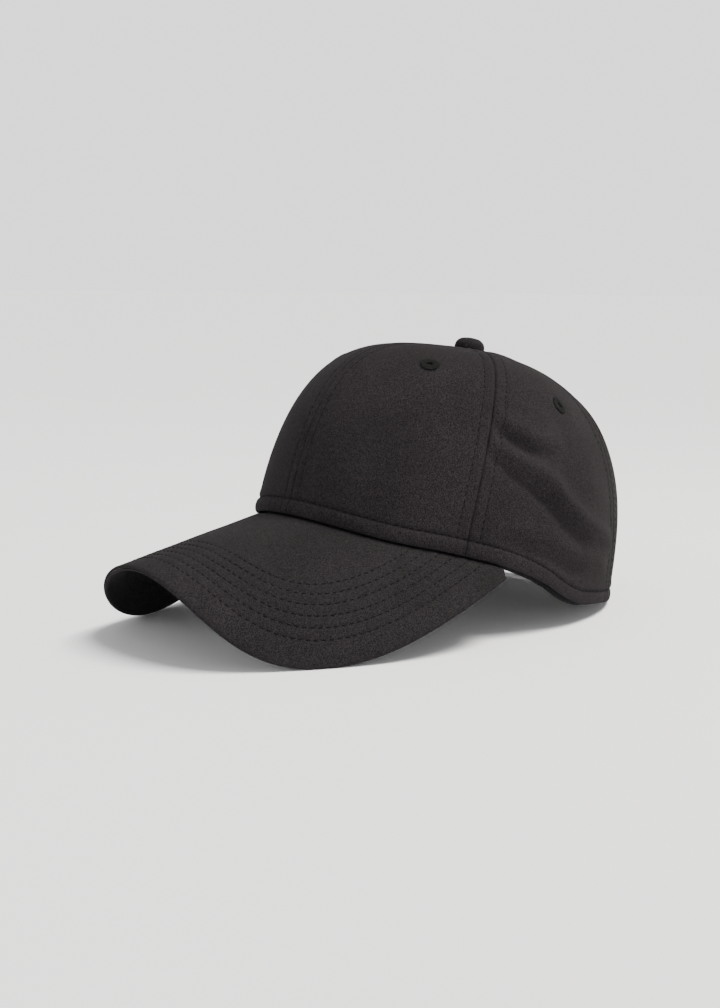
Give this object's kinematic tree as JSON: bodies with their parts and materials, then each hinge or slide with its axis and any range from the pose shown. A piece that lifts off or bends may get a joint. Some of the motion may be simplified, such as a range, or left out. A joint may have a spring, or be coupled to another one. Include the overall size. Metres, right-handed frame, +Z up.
{
  "type": "baseball cap",
  "caption": "Structured baseball cap with a curved stitched visor, covered button, sewn eyelets and a fabric back strap in a flip-lever buckle.",
  "frame": {"origin": "on the table under the middle of the cap's box, as the cap stands on its visor's two sides and the corners of its back opening", "axes": "+Z up, visor towards -Y, wearer's left side +X; the cap's own level is tipped 10.5 degrees nose up"},
  "size_m": [0.1802, 0.2914, 0.1411],
  "materials": {
    "crown_cloth": "brushed cotton twill, charcoal black",
    "visor_cloth": "brushed cotton twill, charcoal black",
    "buckram": "stiff open-weave buckram",
    "tape": "woven cotton tape",
    "eyelet_thread": "satin-stitched thread",
    "button_metal": "plain steel",
    "visor_board": "moulded plastic sheet",
    "sweatband_cloth": "plain-weave cotton",
    "padding_foam": "soft foam",
    "strap_cloth": "doubled cotton twill",
    "buckle_metal": "brushed dark nickel plate"
  },
  "bodies": {
    "cap": {"front_panel_left": "crown_cloth", "side_panel_left": "crown_cloth", "back_panel_left": "crown_cloth", "front_panel_right": "crown_cloth", "side_panel_right": "crown_cloth", "back_panel_right": "crown_cloth", "front_buckram_left": "buckram", "front_buckram_right": "buckram", "seam_tape_front": "tape", "seam_tape_front_left": "tape", "seam_tape_front_right": "tape", "seam_tape_back_left": "tape", "seam_tape_back_right": "tape", "seam_tape_back": "tape", "eyelet_front_left": "eyelet_thread", "eyelet_side_left": "eyelet_thread", "eyelet_back_left": "eyelet_thread", "eyelet_front_right": "eyelet_thread", "eyelet_side_right": "eyelet_thread", "eyelet_back_right": "eyelet_thread", "button_cover": "crown_cloth", "button_shell": "button_metal", "button_rivet": "button_metal", "visor_top_cover": "visor_cloth", "visor_board": "visor_board", "visor_under_cover": "visor_cloth", "sweatband": "sweatband_cloth", "sweatband_padding": "padding_foam", "opening_facing": "tape", "strap_loop": "strap_cloth", "buckle_frame": "buckle_metal", "buckle_pin": "buckle_metal"},
    "strap": {"strap": "strap_cloth"},
    "buckle_lever": {"buckle_lever": "buckle_metal"}
  },
  "joints": [
    {"name": "buckle_lever_hinge", "type": "hinge", "parent": "cap", "child": "buckle_lever", "pos_m": [-0.00463, 0.14041, 0.01146], "axis": [0, -0.1822, -0.9833], "range_deg": [0, 100]},
    {"name": "strap_adjust", "type": "hinge", "parent": "cap", "child": "strap", "pos_m": [0, 0.06799, 0.02488], "axis": [0, 0.1822, 0.9833], "range_deg": [-8, 8]}
  ]
}
